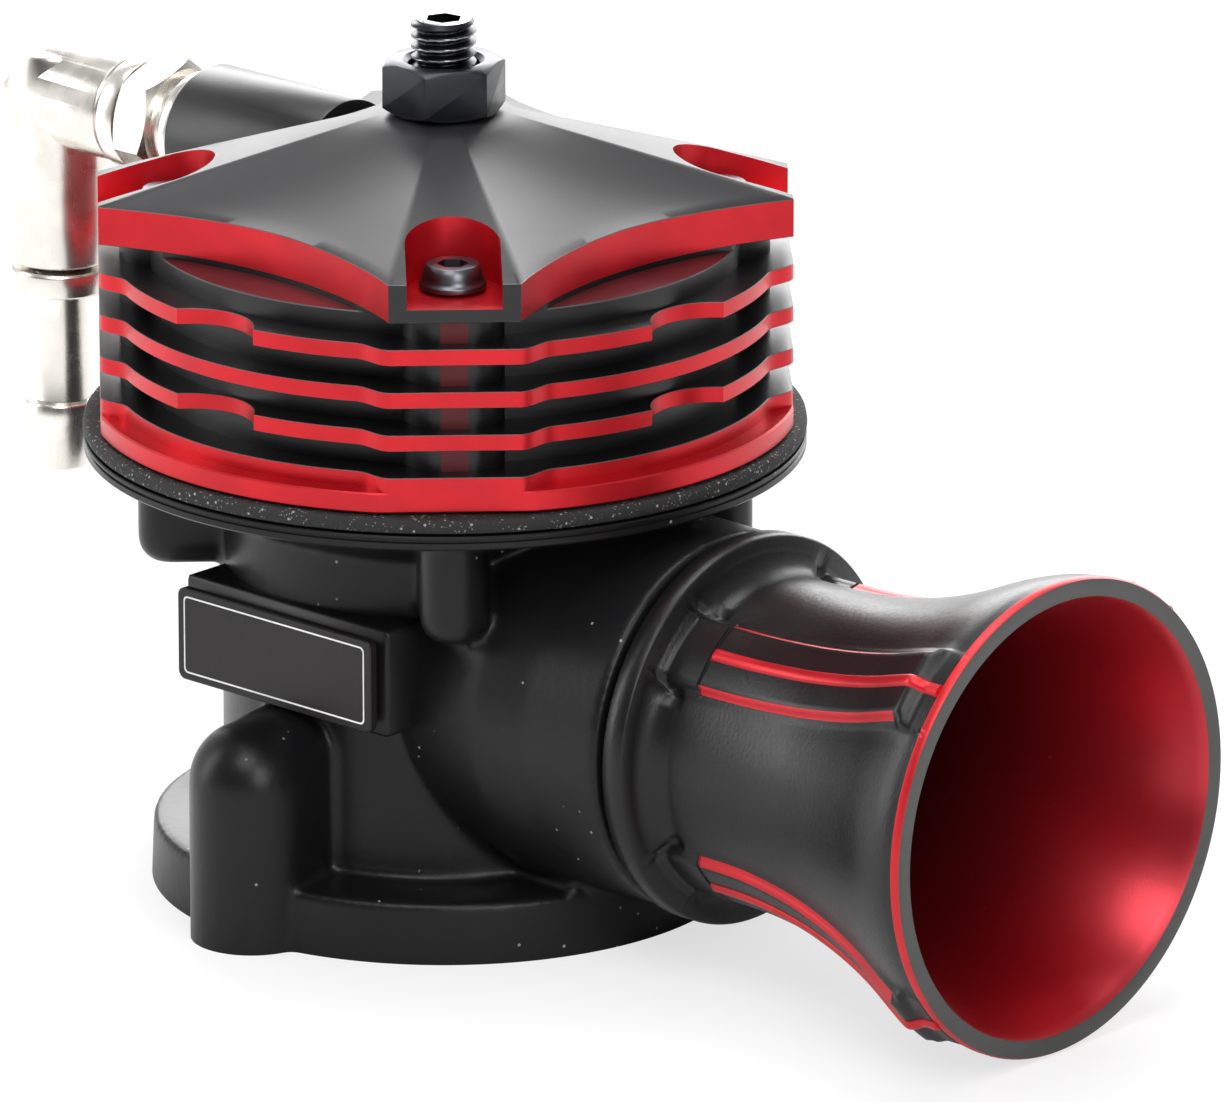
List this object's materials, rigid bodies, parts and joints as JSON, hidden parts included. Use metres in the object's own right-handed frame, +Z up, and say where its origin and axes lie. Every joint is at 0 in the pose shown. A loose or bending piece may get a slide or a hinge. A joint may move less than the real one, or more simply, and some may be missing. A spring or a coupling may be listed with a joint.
{
  "type": "blow off valve",
  "caption": "Diaphragm blow off valve with a finned square cap, a flared outlet funnel, a bolted base flange, a spring adjuster and a swivelling hose elbow.",
  "frame": {"origin": "centre of the bounding box at the underside of the base flange; the valve axis is vertical at x = -0.0103", "axes": "+Z up along the valve axis, +X along the outlet towards its mouth, -X towards the hose elbow, -Y towards the nameplate"},
  "size_m": [0.1296, 0.0664, 0.0817],
  "materials": {
    "cast_black": "black cast aluminium, satin",
    "anodised_black": "black anodised aluminium, satin, with red machined edges",
    "anodised_red": "red and black anodised aluminium, satin",
    "blackened_steel": "black oxide steel",
    "bright_steel": "bright drawn steel",
    "bronze": "sintered bronze",
    "plain_aluminium": "turned aluminium",
    "nickel": "nickel plated brass",
    "rubber": "matt black rubber",
    "plate_black": "thin plate with a dark printed face"
  },
  "bodies": {
    "valve_body": {"main_body": "cast_black", "base_seal": "rubber", "cap": "anodised_black", "cap_screw_1": "blackened_steel", "cap_screw_2": "blackened_steel", "cap_screw_3": "blackened_steel", "cap_screw_4": "blackened_steel", "main_spring": "bright_steel", "diaphragm": "rubber", "guide_bush": "bronze", "nameplate": "plate_black", "nameplate_tape": "rubber", "outlet_funnel": "anodised_red", "funnel_seal": "rubber", "port_washer": "nickel", "port_adaptor": "nickel"},
    "valve": {"valve_stem": "bright_steel", "upper_plate": "plain_aluminium", "lower_plate": "plain_aluminium", "stem_nut": "bright_steel", "poppet_nut": "bright_steel", "valve_poppet": "plain_aluminium", "poppet_seal": "rubber"},
    "spring_adjuster": {"spring_seat": "plain_aluminium"},
    "adjusting_screw": {"set_screw": "blackened_steel"},
    "locking_nut": {"lock_nut": "blackened_steel"},
    "elbow": {"hose_elbow": "nickel", "swivel_seal": "rubber", "hose_barb": "nickel"}
  },
  "joints": [
    {"name": "valve_lift", "type": "slide", "parent": "valve_body", "child": "valve", "axis": [0, 0, 1], "range_m": [0, 0.006], "stiffness_N_per_m": 2000, "springref_m": -0.006, "deforming": ["main_spring", "diaphragm"]},
    {"name": "spring_adjust", "type": "slide", "parent": "valve_body", "child": "spring_adjuster", "axis": [0, 0, 1], "range_m": [-0.0025, 0.002], "deforming": ["main_spring"]},
    {"name": "screw_turn", "type": "hinge", "parent": "spring_adjuster", "child": "adjusting_screw", "pos_m": [-0.0103, 0, 0.07], "axis": [0, 0, 1], "range_deg": [-900, 720]},
    {"name": "nut_turn", "type": "hinge", "parent": "valve_body", "child": "locking_nut", "pos_m": [-0.0103, 0, 0.0755], "axis": [0, 0, 1], "range_deg": [0, 180]},
    {"name": "elbow_swivel", "type": "hinge", "parent": "valve_body", "child": "elbow", "pos_m": [-0.0599, 0, 0.0652], "axis": [1, 0, 0], "continuous": true}
  ],
  "couplings": [
    {"joint": "screw_turn", "follows": "spring_adjust", "rad_per_m": 6283.2}
  ]
}
